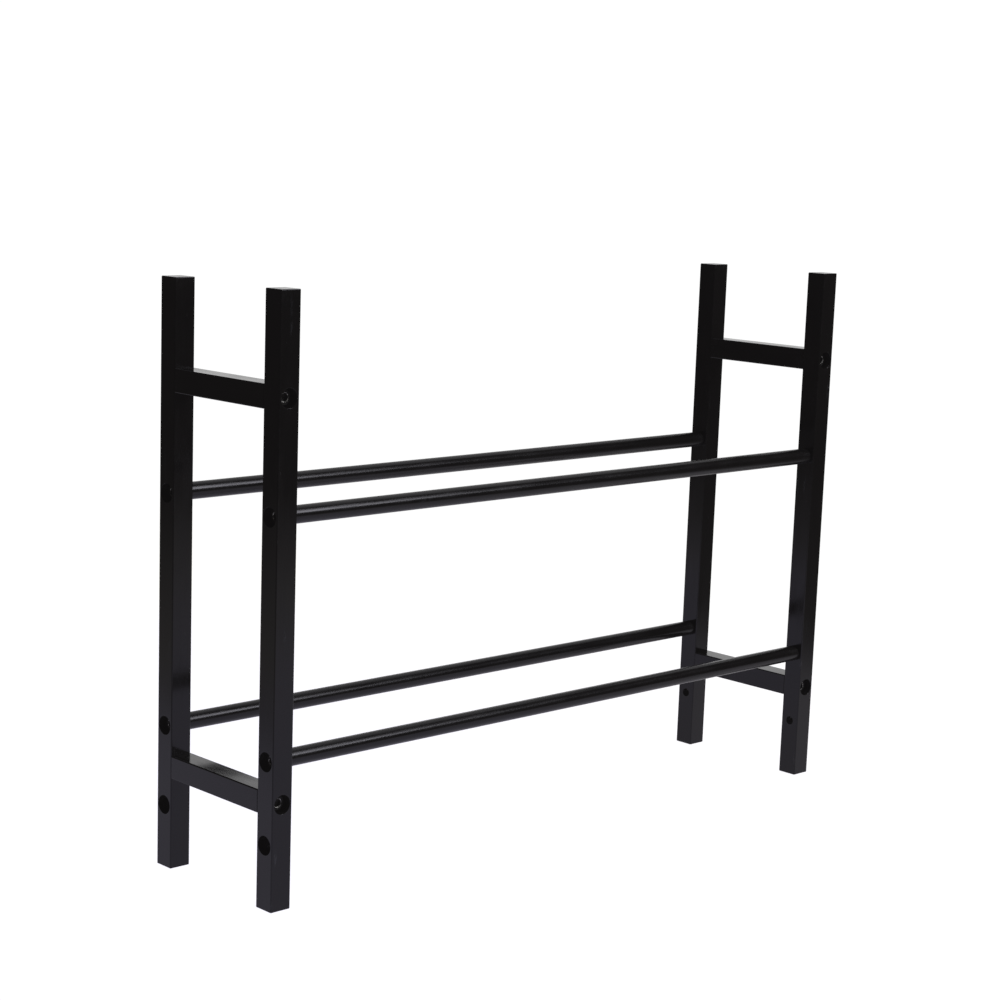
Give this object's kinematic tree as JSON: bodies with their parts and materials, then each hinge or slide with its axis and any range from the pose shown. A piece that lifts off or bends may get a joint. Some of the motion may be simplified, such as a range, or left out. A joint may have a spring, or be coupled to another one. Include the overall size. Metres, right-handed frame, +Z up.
{
  "type": "tyre storage rack",
  "caption": "Small two-tier rack for storing model tyres and wheels: square-bar end frames tied by paired round rods that the tyres stand on.",
  "frame": {"origin": "on the ground plane under the middle of the rack", "axes": "+X along the rods, to the right; +Y to the rear; +Z up"},
  "size_m": [0.275, 0.064, 0.202],
  "materials": {
    "black_bar": "gloss black anodised square bar",
    "black_rod": "polished gloss black anodised round rod",
    "black_screw": "black oxide socket head screw, satin"
  },
  "bodies": {
    "root": {"left_front_post": "black_bar", "left_rear_post": "black_bar", "right_front_post": "black_bar", "right_rear_post": "black_bar", "left_lower_crossbar": "black_bar", "left_upper_crossbar": "black_bar", "right_lower_crossbar": "black_bar", "right_upper_crossbar": "black_bar", "front_lower_rod": "black_rod", "front_upper_rod": "black_rod", "rear_lower_rod": "black_rod", "rear_upper_rod": "black_rod", "left_front_lower_rod_screw": "black_screw", "left_front_upper_rod_screw": "black_screw", "left_rear_lower_rod_screw": "black_screw", "left_rear_upper_rod_screw": "black_screw", "right_front_lower_rod_screw": "black_screw", "right_front_upper_rod_screw": "black_screw", "right_rear_lower_rod_screw": "black_screw", "right_rear_upper_rod_screw": "black_screw", "left_front_lower_crossbar_screw": "black_screw", "left_front_upper_crossbar_screw": "black_screw", "left_rear_lower_crossbar_screw": "black_screw", "left_rear_upper_crossbar_screw": "black_screw", "right_front_lower_crossbar_screw": "black_screw", "right_front_upper_crossbar_screw": "black_screw", "right_rear_lower_crossbar_screw": "black_screw", "right_rear_upper_crossbar_screw": "black_screw"}
  },
  "joints": []
}
